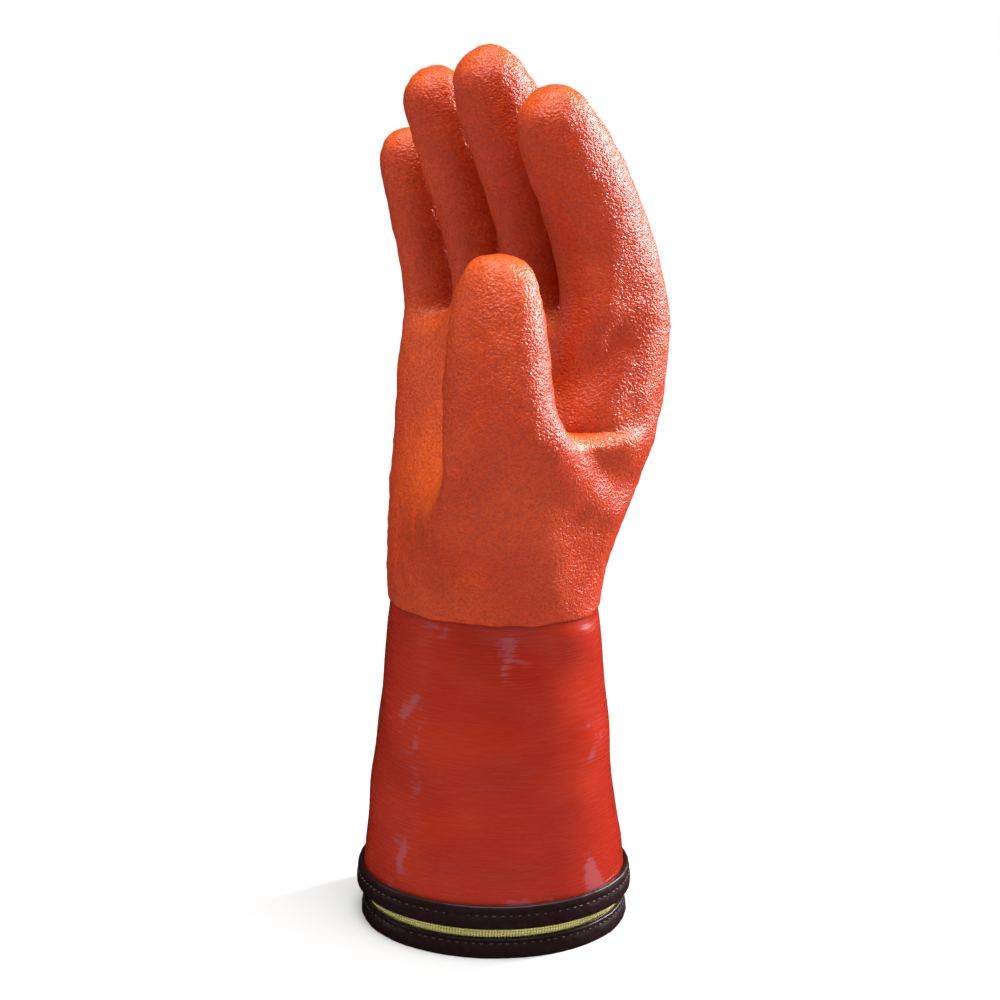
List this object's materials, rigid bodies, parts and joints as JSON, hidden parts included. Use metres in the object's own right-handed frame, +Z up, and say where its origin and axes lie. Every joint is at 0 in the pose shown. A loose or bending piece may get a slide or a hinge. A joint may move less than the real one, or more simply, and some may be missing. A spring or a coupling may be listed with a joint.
{
  "type": "pvc coated work glove",
  "caption": "Right-hand work glove with a grained PVC hand, a smooth flared gauntlet and a knitted liner, standing open on its taped cuff; it keeps a hand warm, dry and protected.",
  "frame": {"origin": "on the floor, on the cuff's axis, in the middle of the opening where the hand goes in", "axes": "+Z up towards the fingertips, +X towards the thumb, +Y towards the back of the hand; the palm faces -Y"},
  "size_m": [0.116, 0.0997, 0.3035],
  "materials": {
    "grained_pvc": "rough grained orange coating",
    "smooth_pvc": "smooth glossy red-orange coating",
    "knitted_liner": "yellow rib knit",
    "binding_tape": "dark folded and stitched tape"
  },
  "bodies": {
    "root": {"hand_coat": "grained_pvc", "gauntlet_sleeve": "smooth_pvc", "sleeve_tape": "binding_tape", "liner": "knitted_liner", "liner_tape": "binding_tape"}
  },
  "joints": []
}
